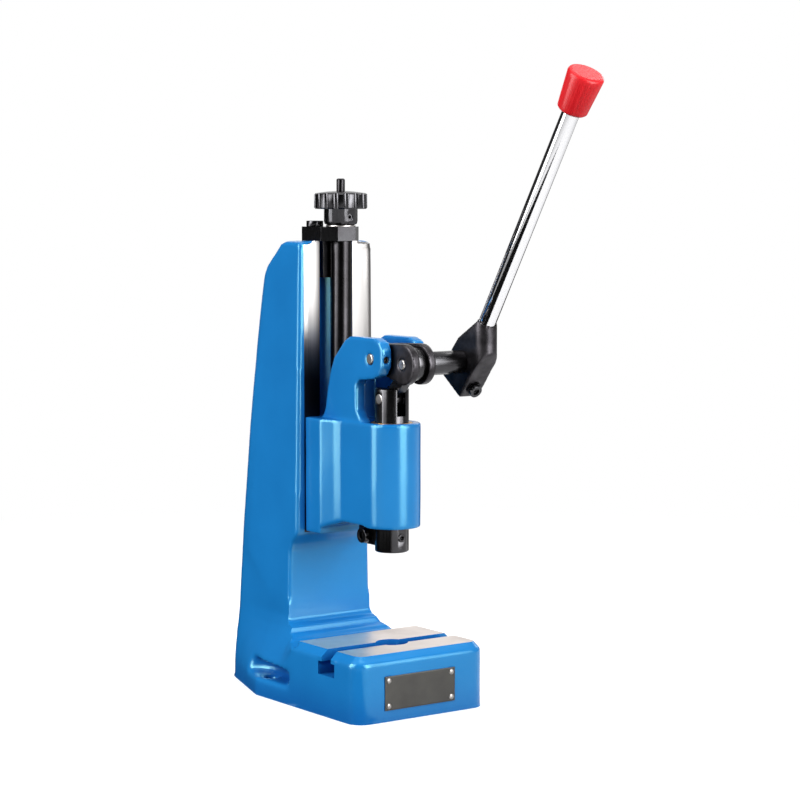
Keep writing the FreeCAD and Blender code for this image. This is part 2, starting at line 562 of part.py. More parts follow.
def crank():
    """The forked crank: a boss on the pivot pin and two cheeks round the link and the knee pin."""
    knee = from_knee("0", "0")
    lobe = cylinder("crank_lobe_bar", "crank_lobe", "crank_width", x="-crank_width / 2", along="X", **knee)
    boss = cylinder("crank_boss_bar", "crank_boss", "crank_width", x="-crank_width / 2", z="pivot_height",
                    along="X")
    bridge = slab("crank_bridge", "YZ", [
        ("0", "pivot_height + crank_boss"), ("0", "pivot_height - crank_boss"),
        ("-knee_front", "pivot_height - knee_drop - crank_lobe"),
        ("-knee_front", "pivot_height - knee_drop + crank_lobe")], "crank_width")
    rear, front = "-crank_slot_rear", "-(knee_front + crank_lobe + 2)"
    slot = slab("crank_slot_tool", "YZ", [
        ("2", "pivot_height - 40"), ("2", "pivot_height - crank_boss"),
        (rear, "pivot_height - crank_boss / 2"),
        (rear, "pivot_height + 40"), (front, "pivot_height + 40"), (front, "pivot_height - 40")],
        "crank_slot")
    tools = [slot, cylinder("crank_pivot_bore", "pin_diameter / 2 + fit_gap", "crank_width + 2",
                            x="-crank_width / 2 - 1", z="pivot_height", along="X"),
             cylinder("knee_bore", "pin_diameter / 2 + 0.01", "crank_width + 2", x="-crank_width / 2 - 1",
                      along="X", **knee)]
    node(cut("crank_solid", fuse("crank_rough", lobe, boss, bridge), *tools), "crank")
    node(turned("knee_pin_bar", pin_outline("crank_width + 0.2 + stub_socket"), x="-crank_width / 2 - 0.2",
                along="X", **knee), "knee_pin")


def knee_path():
    """Where the knee pin lies in the link's own frame (along, across) over the lever's travel."""
    front, drop = size("knee_front"), size("knee_drop")
    reach = size("link_reach")
    rise, lean = reach - drop, math.atan2(front, reach - drop)
    length, spots = math.hypot(front, rise), []
    for step in range(21):
        share = step / 20
        turn, swing = math.radians(size("lever_travel") * share), math.radians(size("link_swing") * share)
        knee_y = -front * math.cos(turn) + drop * math.sin(turn)
        knee_z = -drop * math.cos(turn) - front * math.sin(turn)
        foot_z = -reach - size("ram_stroke") * share
        angle = lean - swing
        along = -knee_y * math.sin(angle) + (knee_z - foot_z) * math.cos(angle)
        across = knee_y * math.cos(angle) + (knee_z - foot_z) * math.sin(angle)
        spots.append((along - length, across))
    return spots


def link():
    """The link from the knee down to the ram; its upper eye is opened to the path that the knee pin takes."""
    rise = size("link_reach") - size("knee_drop")
    lean = math.degrees(math.atan2(size("knee_front"), rise))
    length = math.hypot(size("knee_front"), rise)
    thick, foot = "link_thickness", {"z": RAM_PIN}
    lower = cylinder("link_lower_eye", "link_eye", thick, x="-link_thickness / 2", along="X", **foot)
    upper = cylinder("link_upper_eye", "link_knee_eye", thick, x="-link_thickness / 2", y="-knee_front",
                     z="pivot_height - knee_drop", along="X")
    bar = slab("link_bar", "YZ", [
        ("-link_width / 2", "0"), ("link_width / 2", "0"), ("link_width / 2", f"{length}"),
        ("-link_width / 2", f"{length}")],
        thick, z=RAM_PIN)
    bar.Placement = Placement(bar.Placement.Base, Rotation(Vector(1, 0, 0), lean))
    bind(bar, "Placement.Base.z", RAM_PIN)
    spots, room = knee_path(), size("pin_diameter") / 2 + size("knee_clearance")
    low, high = min(s[0] for s in spots) - room, max(s[0] for s in spots) + room
    left, right = min(s[1] for s in spots) - room, max(s[1] for s in spots) + room
    window = slab("knee_window", "YZ", [
        (f"{left}", f"{length + low}"), (f"{right}", f"{length + low}"), (f"{right}", f"{length + high}"),
        (f"{left}", f"{length + high}")], "link_thickness + 2", z=RAM_PIN)
    window.Placement = bar.Placement
    bind(window, "Placement.Base.z", RAM_PIN)
    pin_hole = cylinder("link_pin_bore", "pin_diameter / 2 + fit_gap", "link_thickness + 2",
                        x="-link_thickness / 2 - 1", along="X", **foot)
    node(cut("link_solid", fuse("link_rough", lower, upper, bar), window, pin_hole), "toggle_link")


# -------------------------------------------------------------------------------------- ram
def ram():
    """The ram with its fork and tool bore, its pin, and the screw that clamps a tool's shank."""
    bar = turned("ram_bar", [
        ("0", "ram_foot"), ("ram_diameter / 2 - 0.8", "ram_foot"), ("ram_diameter / 2", "ram_foot + 0.8"),
        ("ram_diameter / 2", f"{RAM_TOP} - 1"), ("ram_diameter / 2 - 1", RAM_TOP), ("0", RAM_TOP)])
    slot = box("ram_slot_tool", "ram_slot", "ram_diameter + 2", "ram_slot_depth + 1", x="-ram_slot / 2",
               y="-ram_diameter / 2 - 1", z=f"{RAM_TOP} - ram_slot_depth")
    tools = [
        slot, cylinder("tool_bore_hole", "tool_bore / 2", "tool_bore_depth + 1", z="ram_foot - 1"),
        cylinder("ram_pin_bore", "pin_diameter / 2 + 0.01", "ram_diameter + 2", x="-ram_diameter / 2 - 1",
                 z=RAM_PIN, along="X"),
        cylinder("tool_screw_bore", "tool_screw / 2 + 0.01", "ram_diameter", y="-ram_diameter",
                 z="ram_foot + tool_screw_height", along="Y"),
        box("arm_seat_tool", "arm_width + 2 * fit_gap", "10", "arm_height + 2 * fit_gap",
            x="-arm_width / 2 - fit_gap", y="arm_seat", z="arm_foot - fit_gap")]
    node(cut("ram_solid", bar, *tools), "ram")
    node(turned("ram_pin_bar", pin_outline("ram_diameter - 1.2"), x="-ram_diameter / 2 + 0.6", z=RAM_PIN,
                along="X"), "ram_pin")
    node(grub_screw("tool_screw_bar", "tool_screw", "ram_diameter / 2 - tool_bore / 2 + 0.5",
                    y="-tool_bore / 2 - 0.3", z="ram_foot + tool_screw_height", along="-Y"),
                    "tool_clamp_screw")


def ram_guide():
    """The arm behind the ram and its guide pin, which runs in the neck and keeps the ram from turning."""
    arm = slab("arm_plan", "XY", [
        ("-arm_width / 2", "arm_seat + fit_gap"), ("arm_width / 2", "arm_seat + fit_gap"),
        ("arm_width / 2", "arm_rear - 4"),
        ("arm_width / 2 - 4", "arm_rear"), ("4 - arm_width / 2", "arm_rear"),
        ("-arm_width / 2", "arm_rear - 4")],
        "arm_height", z="arm_foot", middle=False)
    middle = "arm_foot + arm_height / 2"
    tools = [cylinder("guide_pin_hole", "guide_diameter / 2 + 0.01", "arm_height + 2", y="guide_rear",
                      z="arm_foot - 1"),
             cylinder("arm_screw_hole", "arm_screw / 2 + 0.01", "arm_width + 2", x="-arm_width / 2 - 1",
                      y="arm_screw_rear", z=middle, along="X")]
    node(cut("arm_solid", arm, *tools), "guide_arm")
    node(turned("guide_pin_bar", pin_outline("guide_top - arm_foot - 1", "guide_diameter / 2"),
                y="guide_rear",
                z="arm_foot + 1"), "guide_pin")
    node(cap_screw("arm_screw_bar", "arm_screw", "arm_width - 1", x="-arm_width / 2", y="arm_screw_rear",
                   z=middle,
                   along="-X"), "arm_cap_screw")


# -------------------------------------------------------------------------------------- lever
LEVER_MIDDLE = "(crank_width / 2 + stub_length + clamp_width / 2)"


def rod_turn():
    """Turn that lays a piece's Z along the lever rod: up and forwards."""
    return Rotation(Vector(1, 0, 0), size("rod_lean"))


def along_rod(distance):
    """A point on the rod's axis, that far up from the mouth of the clamp, as placement words."""
    point = from_knee(f"rod_root_front + ({distance}) * sin(rod_lean)",
                      f"rod_root_rise + ({distance}) * cos(rod_lean)")
    return {"x": LEVER_MIDDLE, **point}


def lever_stub():
    """The bar that runs from the crank's right cheek to the clamp, with the knee pin in its near end."""
    shaft, length = "stub_diameter / 2", "stub_length"
    node(turned("stub_bar", [
        ("pin_diameter / 2 + 0.01", "0"), (f"{shaft} - 0.8", "0"), (shaft, "0.8"), (shaft, length),
        ("stub_spigot / 2", length), ("stub_spigot / 2", f"{length} + spigot_length"),
        ("0", f"{length} + spigot_length"), ("0", "stub_socket + 0.5"),
        ("pin_diameter / 2 + 0.01", "stub_socket + 0.5")],
        x="crank_width / 2", along="X", **from_knee("0", "0")), "lever_stub")


def lever_clamp():
    """The block on the stub's end that holds the rod, with a round nose and the screw that grips the stub."""
    side = slab("clamp_side", "YZ", [
        (f"-knee_front - clamp_front_{corner}", f"pivot_height - knee_drop + clamp_up_{corner}")
        for corner in range(1, 11)], "clamp_width", x=LEVER_MIDDLE)
    flank = box("clamp_flank", "clamp_width", "clamp_nose_front - clamp_front_4 + 2", "100",
                x=f"{LEVER_MIDDLE} - clamp_width / 2", **from_knee("clamp_nose_front", "-50"))
    nose = cylinder("clamp_nose", "clamp_width / 2", "100", x=LEVER_MIDDLE,
                    **from_knee("clamp_nose_front", "-50"))
    collar = cylinder("clamp_collar_bar", "clamp_collar / 2", "clamp_collar_depth", along=rod_turn(),
                      **along_rod("-clamp_collar_depth"))
    seat = {"x": LEVER_MIDDLE, **from_knee("clamp_seat_front", "-clamp_seat_drop")}
    outwards = Rotation(Vector(1, 0, 0), 180 - size("clamp_screw_lean"))
    inwards = Rotation(Vector(1, 0, 0), -size("clamp_screw_lean"))
    tools = [cylinder("spigot_bore", "stub_spigot / 2 + 0.01", "spigot_length + 1.5",
                      x="crank_width / 2 + stub_length - 1", along="X", **from_knee("0", "0")),
             cylinder("rod_bore", "rod_diameter / 2 + 0.01", "rod_seat + clamp_collar_depth", along=rod_turn(),
                      **along_rod("-rod_seat")),
             cylinder("clamp_screw_hole", "screw_small / 2 + 0.01", "clamp_screw_reach + 6", along=inwards,
                      **seat),
             cylinder("clamp_screw_face", "screw_small", "20", along=outwards, **seat)]
    block = common("clamp_block", side, fuse("clamp_plan", flank, nose))
    node(cut("clamp_solid", fuse("clamp_rough", block, collar), *tools), "lever_clamp")
    node(cap_screw("clamp_screw_bar", "screw_small", "clamp_screw_reach", along=outwards, **seat),
         "clamp_screw")


def lever_rod():
    """The rod and the tapered knob on its top end."""
    node(turned("rod_bar", pin_outline("rod_seat + rod_visible + knob_seat", "rod_diameter / 2"),
                along=rod_turn(), **along_rod("-rod_seat")), "lever_rod")
    neck, end = "knob_neck / 2", "knob_end / 2"
    node(turned("knob_bar", [
        ("rod_diameter / 2 + 0.01", "0"), (f"{neck} - 1.5", "0"), (neck, "1.5"),
        (end, "knob_length - knob_round"),
        (f"{end} - knob_round * 0.3", "knob_length - knob_round * 0.3"),
        (f"{end} - knob_round", "knob_length"),
        ("0", "knob_length"), ("0", "knob_seat + 0.5"), ("rod_diameter / 2 + 0.01", "knob_seat + 0.5")],
        along=rod_turn(), **along_rod("rod_visible")), "lever_knob")


# -------------------------------------------------------------------------------------- build and write
def finish():
    """Stop on any failed object or bad shape, then write one STEP file for each piece."""
    DOC.recompute()
    failed = [thing.Name for thing in DOC.Objects if "Invalid" in thing.State or "Error" in thing.State]
    if failed:
        raise RuntimeError("failed objects: " + ", ".join(failed))
    for piece in NODES:
        if piece.Shape.isNull() or not piece.Shape.isValid() or not piece.Shape.Solids:
            raise RuntimeError("bad shape: " + piece.Label)
    os.makedirs("parts", exist_ok=True)
    for piece in NODES:
        piece.Shape.exportStep(os.path.join("parts", piece.Label + ".step"))
        print(f"{piece.Label}: {len(piece.Shape.Solids)} solid(s), {piece.Shape.Volume / 1000:.1f} cm3")


frame_casting()
name_plate()
head_casting()
gib_strip()
bearing_plate()
spindle()
crank()
link()
ram()
ram_guide()
lever_stub()
lever_clamp()
lever_rod()
finish()
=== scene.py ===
"""Bench lever press, dressed for the studio: softened castings, finishes with some painted shade and
reflection, floor, lamps and camera.

Everything is in metres in the frame of the solids: the ram's axis is Z, the bench is z = 0 and the press
faces -Y.
"""
import logging
import math
from dataclasses import dataclass, field
from enum import Enum

import bmesh
import bpy
import numpy as np
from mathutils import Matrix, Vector, noise


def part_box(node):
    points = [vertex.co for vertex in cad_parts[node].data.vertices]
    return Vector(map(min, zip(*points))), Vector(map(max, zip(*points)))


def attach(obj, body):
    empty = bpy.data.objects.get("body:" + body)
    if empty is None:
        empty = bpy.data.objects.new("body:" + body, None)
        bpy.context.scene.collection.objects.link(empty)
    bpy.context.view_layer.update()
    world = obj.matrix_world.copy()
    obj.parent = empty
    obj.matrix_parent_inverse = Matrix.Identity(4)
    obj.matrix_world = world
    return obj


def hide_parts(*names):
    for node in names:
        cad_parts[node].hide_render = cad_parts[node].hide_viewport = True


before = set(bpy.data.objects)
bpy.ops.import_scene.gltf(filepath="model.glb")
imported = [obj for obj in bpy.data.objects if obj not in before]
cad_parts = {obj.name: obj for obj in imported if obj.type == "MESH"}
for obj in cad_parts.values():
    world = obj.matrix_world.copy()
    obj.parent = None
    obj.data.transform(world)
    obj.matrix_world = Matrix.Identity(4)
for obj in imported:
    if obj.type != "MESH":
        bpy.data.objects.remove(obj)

LOG = logging.getLogger("lever_press")
MM = 0.001
NOISE_SPREAD = (0.3, 0.7)  # nearly all of a noise pattern's values lie between these
POINTS_MEET = 0.002 * MM
FLAT_WITHIN = 0.4  # degrees between faces that count as one flat
ROUNDED_FROM = 32.0  # degrees at an edge that gets a round
ROUND_STEPS = 2


class Slot(Enum):
    """Material slot names that the press's record gives the pieces made here; nothing in this script uses
    them.
    """

    ENAMEL = "blue_enamel"
    BLACK_STEEL = "blackened_steel"
    PLATE = "plate_black"


# ----------------------------------------------------------------------------------------- colour and nodes
def linear(code: str) -> tuple[float, float, float, float]:
    """Turn an sRGB hex colour to linear.

    Args:
        code: Colour as "#rrggbb".

    Returns:
        Linear red, green and blue, and an alpha of one.
    """
    shares = [int(code[i:i + 2], 16) / 255 for i in (1, 3, 5)]
    red, green, blue = (s / 12.92 if s <= 0.04045 else ((s + 0.055) / 1.055) ** 2.4 for s in shares)
    return red, green, blue, 1.0


def add_node(tree: bpy.types.NodeTree, kind: str, settings: dict | None = None,
             links: dict | None = None) -> bpy.types.Node:
    """Add one shader node.

    Args:
        tree: Node tree that takes it.
        kind: Node type without its "ShaderNode" prefix.
        settings: Values by property name, socket name or socket number, set in the order given.
        links: Output sockets by the name or number of the input that they feed.

    Returns:
        The new node.
    """
    node = tree.nodes.new("ShaderNode" + kind)
    for key, value in (settings or {}).items():
        if isinstance(key, int) or key in node.inputs:
            node.inputs[key].default_value = value
        else:
            setattr(node, key, value)
    for key, socket in (links or {}).items():
        tree.links.new(socket, node.inputs[key])
    return node


def per_metre(size_mm: float) -> float:
    """Scale of a pattern in object coordinates whose features are that many millimetres across."""
    return 1.0 / (size_mm * MM)


def noise_pattern(tree: bpy.types.NodeTree, place: bpy.types.NodeSocket, size_mm: float,
                  detail: float) -> bpy.types.NodeSocket:
    """A noise pattern of features that many millimetres across, with that many octaves."""
    return add_node(tree, "TexNoise", {"Scale": per_metre(size_mm), "Detail": detail},
                    {"Vector": place}).outputs[0]


def math_node(tree: bpy.types.NodeTree, operation: str,
              *values: bpy.types.NodeSocket | float) -> bpy.types.NodeSocket:
    """The result of one sum on sockets and plain numbers."""
    numbers = {i: value for i, value in enumerate(values) if isinstance(value, float)}
    sockets = {i: value for i, value in enumerate(values) if not isinstance(value, float)}
    return add_node(tree, "Math", {"operation": operation, **numbers}, sockets).outputs[0]


def ramp(tree: bpy.types.NodeTree, value: bpy.types.NodeSocket, span: tuple[float, float],
         way: str = "LINEAR") -> bpy.types.NodeSocket:
    """How far a value has come from the low to the high end of a span, from 0 to 1."""
    return add_node(tree, "MapRange", {"interpolation_type": way, "From Min": span[0], "From Max": span[1]},
                    {"Value": value}).outputs[0]


def mix_colours(tree: bpy.types.NodeTree, share: bpy.types.NodeSocket, first: bpy.types.NodeSocket | str,
                second: bpy.types.NodeSocket | str) -> bpy.types.NodeSocket:
    """Mix two colours.

    Args:
        tree: Node tree that takes the mix.
        share: How much of the second colour shows, from 0 to 1.
        first: A hex colour or a socket.
        second: A hex colour or a socket.

    Returns:
        The mixed colour.
    """
    colours = {6: first, 7: second}
    fixed = {key: linear(colour) for key, colour in colours.items() if isinstance(colour, str)}
    fed = {key: colour for key, colour in colours.items() if not isinstance(colour, str)}
    return add_node(tree, "Mix", {"data_type": "RGBA", **fixed}, {0: share, **fed}).outputs[2]


def blank_material(name: str) -> tuple[bpy.types.Material, bpy.types.NodeTree]:
    """A new material with an empty node tree, and that tree."""
    material = bpy.data.materials.new(name)
    material.use_nodes = True
    material.node_tree.nodes.clear()
    return material, material.node_tree


def add_object(name: str, data: bpy.types.ID) -> bpy.types.Object:
    """Put a mesh, lamp or camera into the scene as an object of that name."""
    thing = bpy.data.objects.new(name, data)
    bpy.context.scene.collection.objects.link(thing)
    return thing


# ------------------------------------------------------------------------------------------------- finishes
@dataclass(frozen=True)
class Finish:
    """A finish on the press: its colour, how it shines, and what its surface shows close up."""

    name: str
    colour: str
    roughness: float
    metallic: float = 0.0

    def start(self) -> tuple[bpy.types.Material, bpy.types.NodeTree, bpy.types.Node, bpy.types.NodeSocket]:
        """Begin a material.

        Returns:
            The material, its tree, its surface shader and the object coordinates.
        """
        material, tree = blank_material(self.name)
        material.diffuse_color = linear(self.colour)
        shader = add_node(tree, "BsdfPrincipled", {
            "Base Color": linear(self.colour), "Roughness": self.roughness, "Metallic": self.metallic})
        add_node(tree, "OutputMaterial", links={"Surface": shader.outputs[0]})
        place = add_node(tree, "TexCoord").outputs["Object"]
        return material, tree, shader, place

    def tone(self, tree: bpy.types.NodeTree, shader: bpy.types.Node, place: bpy.types.NodeSocket,
             size_mm: float, other: str, detail: float = 3.0) -> bpy.types.NodeSocket:
        """Drift the colour towards another one in soft patches.

        Args:
            tree: Node tree of the material.
            shader: Surface shader.
            place: Coordinates that the pattern follows.
            size_mm: Width of a patch.
            other: Hex colour at the far end of the drift.
            detail: Octaves of the pattern.

        Returns:
            The drifting colour.
        """
        ease = ramp(tree, noise_pattern(tree, place, size_mm, detail), NOISE_SPREAD)
        colour = mix_colours(tree, ease, self.colour, other)
        tree.links.new(colour, shader.inputs["Base Color"])
        return colour

    def bump(self, tree: bpy.types.NodeTree, shader: bpy.types.Node, pattern: bpy.types.NodeSocket,
             depth_mm: float, under: bpy.types.NodeSocket | None = None) -> bpy.types.NodeSocket:
        """Let a pattern stand out of the surface.

        Args:
            tree: Node tree of the material.
            shader: Surface shader.
            pattern: Height of the pattern, from 0 to 1.
            depth_mm: How far it stands out.
            under: An earlier bump that this one lies on.

        Returns:
            The bumped normal, which now feeds the shader.
        """
        links = {"Height": pattern, "Normal": under} if under else {"Height": pattern}
        normal = add_node(tree, "Bump", {"Strength": 1.0, "Distance": depth_mm * MM}, links).outputs[0]
        tree.links.new(normal, shader.inputs["Normal"])
        return normal

    def shine(self, tree: bpy.types.NodeTree, shader: bpy.types.Node, pattern: bpy.types.NodeSocket,
              spread: tuple[float, float]) -> None:
        """Let a pattern move the roughness between the two ends of a spread round its value."""
        low, high = (self.roughness + step for step in spread)
        rough = add_node(tree, "MapRange", {"To Min": low, "To Max": high}, {"Value": pattern})
        tree.links.new(rough.outputs[0], shader.inputs["Roughness"])


@dataclass(frozen=True)
class SprayedEnamel(Finish):
    """Machine enamel on filled cast iron: gloss, a faint orange peel, and painted shade that turns it a
    deeper blue where it is sheltered.
    """

    shade: str = "#1674ba"
    gleam: str = "#a8f8ec"
    # painted shade: its colour, how far the occlusion looks, its rays and the span over which it fades in
    painted_shade: str = "#0f4fa0"
    painted_shade_reach_mm: float = 45.0
    painted_shade_rays: int = 6
    painted_shade_span: tuple[float, float] = (0.25, 0.85)
    ior: float = 1.6
    patch_mm: float = 60.0
    peel_mm: float = 2.2
    peel_depth_mm: float = 0.012
    wave_mm: float = 22.0
    wave_depth_mm: float = 0.10

    def build(self) -> bpy.types.Material:
        """Make the material."""
        material, tree, shader, place = self.start()
        coat = self.tone(tree, shader, place, self.patch_mm, self.shade)
        # painted shade: a deeper blue where nearby surfaces or the floor shut out light, in recesses and low
        # down
        sky = add_node(tree, "AmbientOcclusion", {"samples": self.painted_shade_rays,
                                                  "Distance": self.painted_shade_reach_mm * MM})
        openness = ramp(tree, sky.outputs["AO"], self.painted_shade_span)
        tree.links.new(mix_colours(tree, openness, self.painted_shade, coat), shader.inputs["Base Color"])
        peel = noise_pattern(tree, place, self.peel_mm, 2.0)
        wave = noise_pattern(tree, place, self.wave_mm, 1.0)
        low = self.bump(tree, shader, wave, self.wave_depth_mm)
        self.bump(tree, shader, peel, self.peel_depth_mm, low)
        shader.inputs["IOR"].default_value = self.ior
        shader.inputs["Specular Tint"].default_value = linear(self.gleam)
        return material


@dataclass(frozen=True)
class GroundMetal(Finish):
    """Metal ground flat, with fine straight scratches."""

    scratch_mm: float = 0.5
    scratch_run_mm: float = 40.0
    scratch_depth_mm: float = 0.004

    def scratches(self, tree: bpy.types.NodeTree, place: bpy.types.NodeSocket, along: int,
                  detail: float) -> bpy.types.NodeSocket:
        """Fine straight scratches along one axis: 0 for X, 1 for Y, 2 for Z."""
        scale = [per_metre(self.scratch_mm)] * 3
        scale[along] = per_metre(self.scratch_run_mm)
        run = add_node(tree, "Mapping", {"Scale": scale}, {"Vector": place})
        return add_node(tree, "TexNoise", {"Scale": 1.0, "Detail": detail},
                        {"Vector": run.outputs[0]}).outputs[0]


@dataclass(frozen=True)
class GroundIron(GroundMetal):
    """Ground cast iron, a little dull from oil in places."""

    dull: str = "#c9beb8"
    smear_mm: float = 30.0
    spread: tuple[float, float] = (-0.06, 0.1)

    def build(self) -> bpy.types.Material:
        """Make the material."""
        material, tree, shader, place = self.start()
        self.tone(tree, shader, place, self.smear_mm, self.dull)
        lines = self.scratches(tree, place, 0, 3.0)
        self.bump(tree, shader, lines, self.scratch_depth_mm)
        self.shine(tree, shader, lines, self.spread)
        return material


@dataclass(frozen=True)
class PaintedReflectionWay(GroundMetal):
    """Ground slideway with a painted reflection: bright above the head's run and painted dark lower down,
    with painted shade along the left slideway's edge by the groove.
    """

    # painted reflection and shade: the dark colour below the bright part and beside the groove
    painted_dark: str = "#262425"
    # grey that the right slideway turns towards its outer edge
    edge_dull: str = "#6b6968"
    dull_across: tuple[float, float] = (0.016, 0.034)
    # heights over which the painted reflection goes from dark to bright; on the right slideway it sits 36 mm
    # lower
    fade: tuple[float, float] = (0.238, 0.318)
    right_offset: float = 0.036
    # painted shade along the inner edge of the left slideway, by the groove
    painted_shade_line: float = -0.008
    painted_shade_width: tuple[float, float] = (0.005, 0.014)
    ragged: float = 0.02
    scratch_run_mm: float = 60.0

    def build(self) -> bpy.types.Material:
        """Make the material."""
        material, tree, shader, place = self.start()
        split = add_node(tree, "SeparateXYZ", links={0: place})
        across, height = split.outputs["X"], split.outputs["Z"]
        lines = self.scratches(tree, place, 2, 4.0)
        drift = math_node(tree, "MULTIPLY_ADD", lines, self.ragged, -self.ragged / 2)
        uneven = math_node(tree, "ADD", height, drift)
        right = math_node(tree, "GREATER_THAN", across, 0.0)
        raised = math_node(tree, "MULTIPLY_ADD", right, self.right_offset, uneven)
        # painted reflection: bright high up, dark lower down, along a ragged line
        bright = ramp(tree, raised, self.fade, "SMOOTHSTEP")
        # painted shade near the groove
        aside = math_node(tree, "ABSOLUTE", math_node(tree, "SUBTRACT", across, self.painted_shade_line))
        beside_painted_shade = ramp(tree, aside, self.painted_shade_width, "SMOOTHSTEP")
        metal = mix_colours(tree, math_node(tree, "MULTIPLY", bright, beside_painted_shade), self.painted_dark, self.colour)
        # greyer across the right slideway towards its outer edge
        greyed_across = mix_colours(tree, ramp(tree, across, self.dull_across), metal, self.edge_dull)
        tree.links.new(greyed_across, shader.inputs["Base Color"])
        self.bump(tree, shader, lines, self.scratch_depth_mm)
        return material


@dataclass(frozen=True)
class BlackOxide(Finish):
    """Steel machined, blackened and oiled: near black with a satin shine and faint brown patches."""

    patch: str = "#242325"
    patch_mm: float = 9.0
    mark_mm: float = 0.7
    mark_depth_mm: float = 0.006
    spread: tuple[float, float] = (-0.05, 0.08)

    def build(self) -> bpy.types.Material:
        """Make the material."""
        material, tree, shader, place = self.start()
        self.tone(tree, shader, place, self.patch_mm, self.patch, detail=5.0)
        marks = noise_pattern(tree, place, self.mark_mm, 2.0)
        self.bump(tree, shader, marks, self.mark_depth_mm)
        self.shine(tree, shader, marks, self.spread)
        return material


@dataclass(frozen=True)
class TurnedBright(Finish):
    """Steel, bronze or aluminium left bare from the tool, with fine rings or marks."""

    dull: str = "#8b8784"
    patch_mm: float = 5.0
    mark_mm: float = 0.4
    mark_depth_mm: float = 0.006

    def build(self) -> bpy.types.Material:
        """Make the material."""
        material, tree, shader, place = self.start()
        self.tone(tree, shader, place, self.patch_mm, self.dull)
        self.bump(tree, shader, noise_pattern(tree, place, self.mark_mm, 3.0), self.mark_depth_mm)
        return material


@dataclass(frozen=True)
class ChromePlate(Finish):
    """Polished bar with hard chrome: mirror bright, with the faintest haze from handling."""

    haze_mm: float = 14.0
    spread: tuple[float, float] = (0.0, 0.08)

    def build(self) -> bpy.types.Material:
        """Make the material."""
        material, tree, shader, place = self.start()
        self.shine(tree, shader, noise_pattern(tree, place, self.haze_mm, 4.0), self.spread)
        return material


@dataclass(frozen=True)
class MouldedPlastic(Finish):
    """Injection-moulded plastic: even colour through and through, with a fine mould grain."""

    shade: str = "#cf1820"
    ior: float = 1.33
    patch_mm: float = 18.0
    grain_mm: float = 0.6
    grain_depth_mm: float = 0.01

    def build(self) -> bpy.types.Material:
        """Make the material."""
        material, tree, shader, place = self.start()
        self.tone(tree, shader, place, self.patch_mm, self.shade)
        self.bump(tree, shader, noise_pattern(tree, place, self.grain_mm, 2.0), self.grain_depth_mm)
        shader.inputs["IOR"].default_value = self.ior
        return material


BLUE_ENAMEL = SprayedEnamel("sprayed_blue_enamel", "#1a7cc4", 0.2)
TABLE_IRON = GroundIron("ground_table_iron", "#e4dad4", 0.34, 1.0)
WAY_IRON = PaintedReflectionWay("ground_way_iron", "#a9a7a6", 0.28, 1.0)
BLACK_OXIDE = BlackOxide("black_oxide_steel", "#434345", 0.2, 1.0, patch="#3a393b")
OILED_SCREW = BlackOxide("oiled_screw_steel", "#29282a", 0.24, 1.0, patch="#222122")
CAST_BLACK = BlackOxide("blackened_cast_steel", "#424043", 0.34, 1.0, mark_mm=1.1, mark_depth_mm=0.02)
BRIGHT_PIN = TurnedBright("ground_pin_steel", "#cfcbc8", 0.28, 1.0)
BRONZE = TurnedBright("turned_bronze", "#b08a4e", 0.35, 1.0, dull="#8d6c3c")
CHROME = ChromePlate("hard_chrome", "#d6d6d8", 0.06, 1.0)
RED_KNOB = MouldedPlastic("moulded_red_plastic", "#e11d26", 0.36)
DARK_SHEET = BlackOxide("black_anodised_sheet", "#302f2d", 0.4, 0.6, patch="#393835", patch_mm=12.0)
PLATE_RIM = TurnedBright("bare_aluminium_rim", "#a09d98", 0.4, 1.0)
RIVET = TurnedBright("rivet_aluminium_bare", "#7f7c79", 0.4, 1.0)


# ------------------------------------------------------------------------------------------------ mesh work
def dress(thing: bpy.types.Object, *materials: bpy.types.Material) -> None:
    """Put materials on a piece or a carried-over solid, in the order of its slots."""
    thing.data.materials.clear()
    for material in materials:
        thing.data.materials.append(material)


def weld(mesh: bpy.types.Mesh) -> None:
    """Join vertices that lie on one point."""
    work = bmesh.new()
    work.from_mesh(mesh)
    bmesh.ops.remove_doubles(work, verts=work.verts, dist=POINTS_MEET)
    work.to_mesh(mesh)
    work.free()


def copy_of(node: str, name: str) -> bpy.types.Object:
    """A welded copy of a solid's mesh as a new object.

    Args:
        node: Name of the solid.
        name: Name of the new piece.

    Returns:
        The new object, linked to the scene.
    """
    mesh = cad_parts[node].data.copy()
    mesh.name = name
    weld(mesh)
    return add_object(name, mesh)


def apply_modifiers(thing: bpy.types.Object) -> None:
    """Make the mesh what its modifiers show, and drop them."""
    graph = bpy.context.evaluated_depsgraph_get()
    made = bpy.data.meshes.new_from_object(thing.evaluated_get(graph))
    thing.modifiers.clear()
    thing.data = made


def points_of(mesh: bpy.types.Mesh) -> np.ndarray:
    """The vertices of a mesh as rows of x, y and z."""
    flat = np.empty(len(mesh.vertices) * 3)
    mesh.vertices.foreach_get("co", flat)
    return flat.reshape(-1, 3)


def soften(mesh: bpy.types.Mesh, share: np.ndarray, passes: int) -> None:
    """Round the edges of a fine mesh.

    Args:
        mesh: Mesh whose cells are all about the same size.
        share: How free each vertex is, from 0 for machined places to 1.
        passes: How many times each vertex moves half way to the middle of its neighbours.
    """
    points = points_of(mesh)
    ends = np.empty(len(mesh.edges) * 2, np.int64)
    mesh.edges.foreach_get("vertices", ends)
    first, second = ends.reshape(-1, 2).T
    count = len(points)
    degree = np.maximum(np.bincount(first, minlength=count) + np.bincount(second, minlength=count), 1)
    for _ in range(passes):
        middle = np.stack([np.bincount(first, points[second, axis], count)
                           + np.bincount(second, points[first, axis], count) for axis in range(3)], axis=1)
        points += (middle / degree[:, None] - points) * (0.5 * share)[:, None]
    mesh.vertices.foreach_set("co", points.ravel())
    mesh.update()


